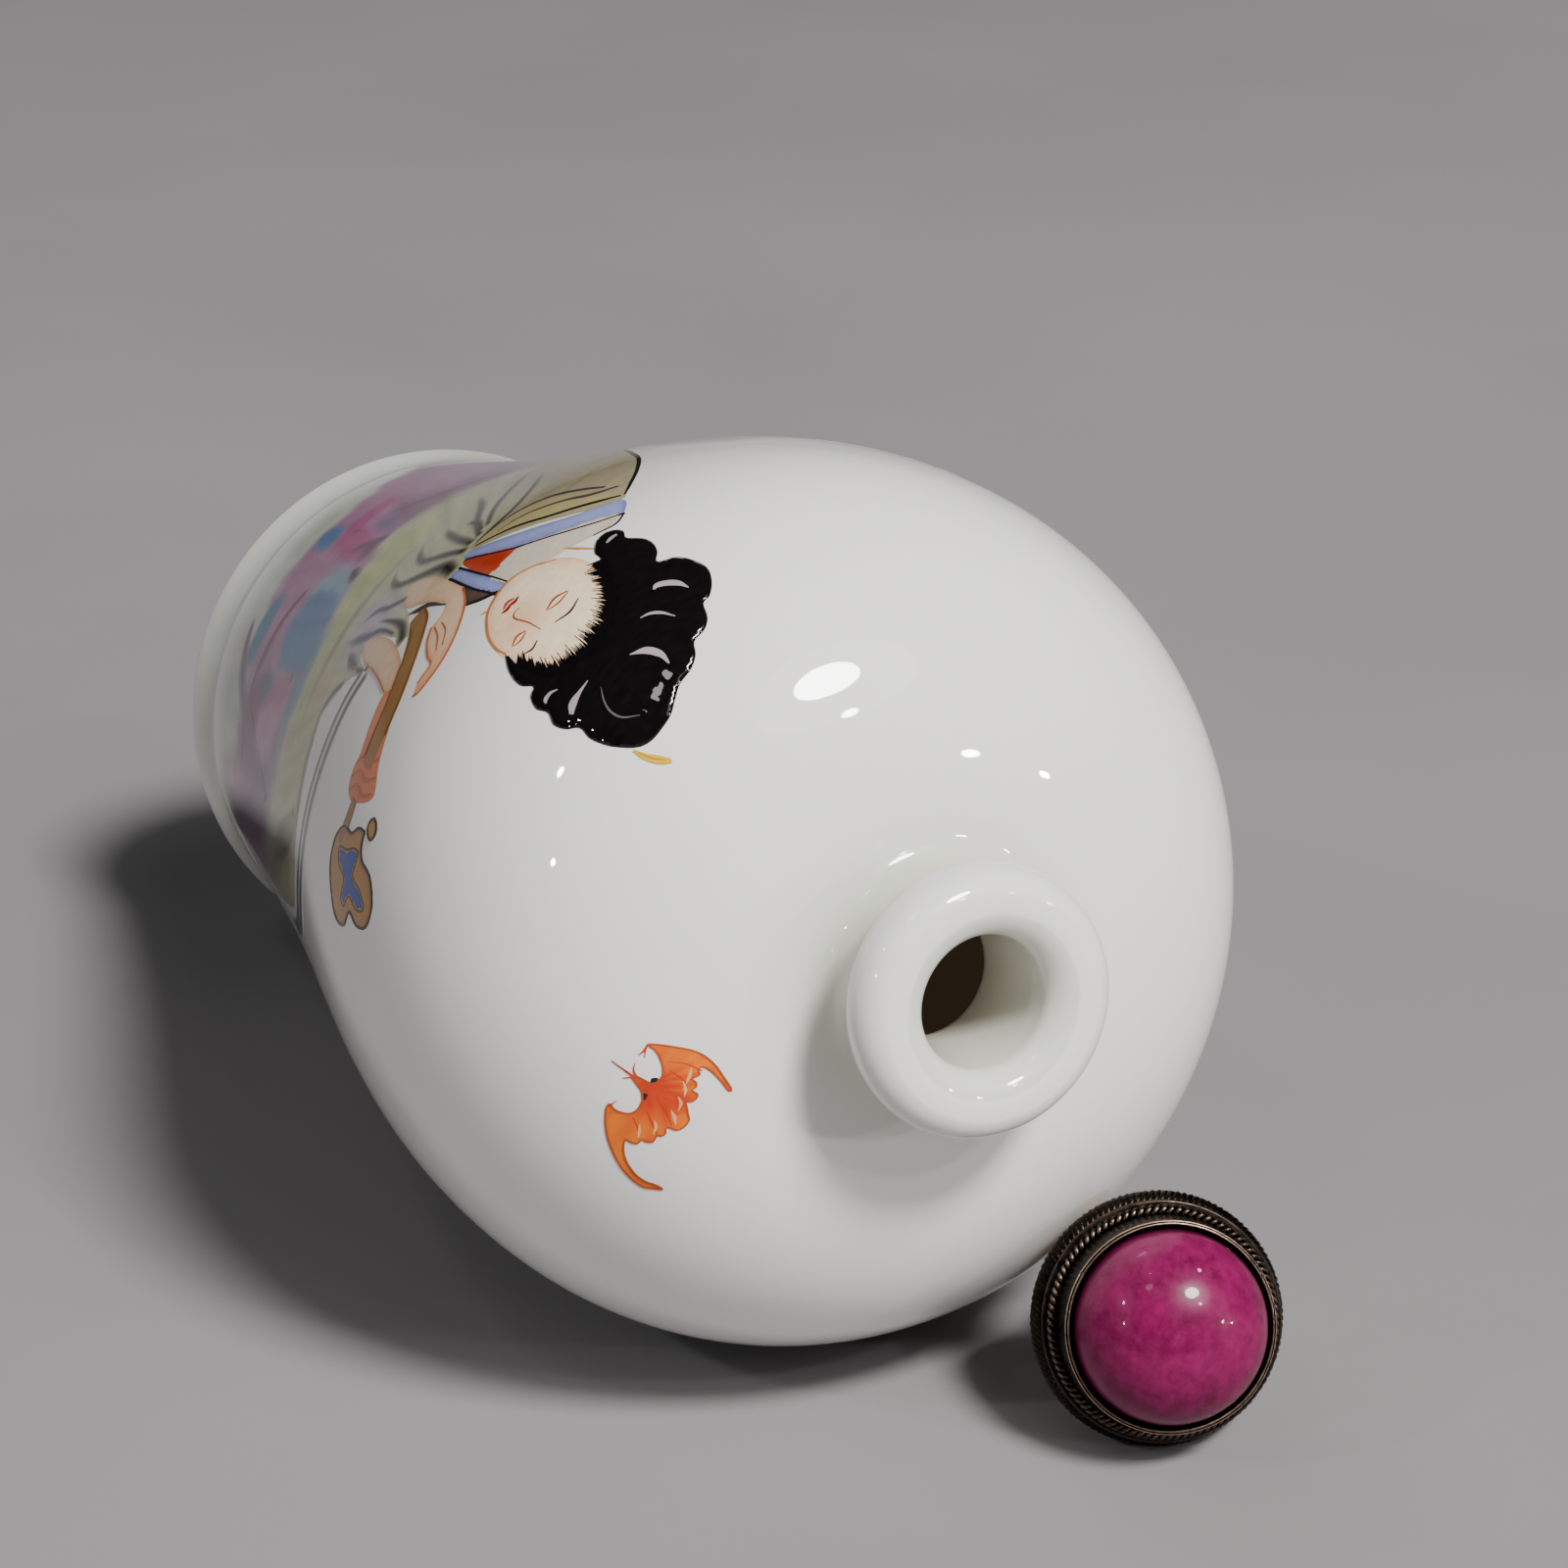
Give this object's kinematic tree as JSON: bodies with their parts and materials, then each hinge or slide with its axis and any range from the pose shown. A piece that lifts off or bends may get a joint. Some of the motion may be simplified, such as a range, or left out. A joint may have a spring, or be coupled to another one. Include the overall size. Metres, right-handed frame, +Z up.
{
  "type": "snuff bottle",
  "caption": "Small painted porcelain vase-shaped snuff bottle lying on its side, hollow, with its stone-topped metal stopper off and lying beside the mouth.",
  "frame": {"origin": "the point of the floor that the bottle's belly rests on", "axes": "+Z up from the floor; the bottle's own axis lies in the XZ plane, foot towards -X and mouth towards +X and a little up"},
  "size_m": [0.0897, 0.05, 0.0502],
  "materials": {
    "porcelain": "clear glossy glaze over white porcelain, painted with coloured overglaze enamels",
    "stopper_metal": "dark aged copper alloy, bright on the worn edges",
    "stopper_stone": "polished mottled magenta stone",
    "cork": "cut natural cork",
    "overglaze_enamels": "thin translucent painted enamels in many colours, fired on the glaze",
    "black_enamel": "thick glossy black enamel of the painted hair"
  },
  "bodies": {
    "root": {"bottle": "porcelain", "stopper_mount": "stopper_metal", "cabochon": "stopper_stone", "cork_plug": "cork"}
  },
  "joints": []
}
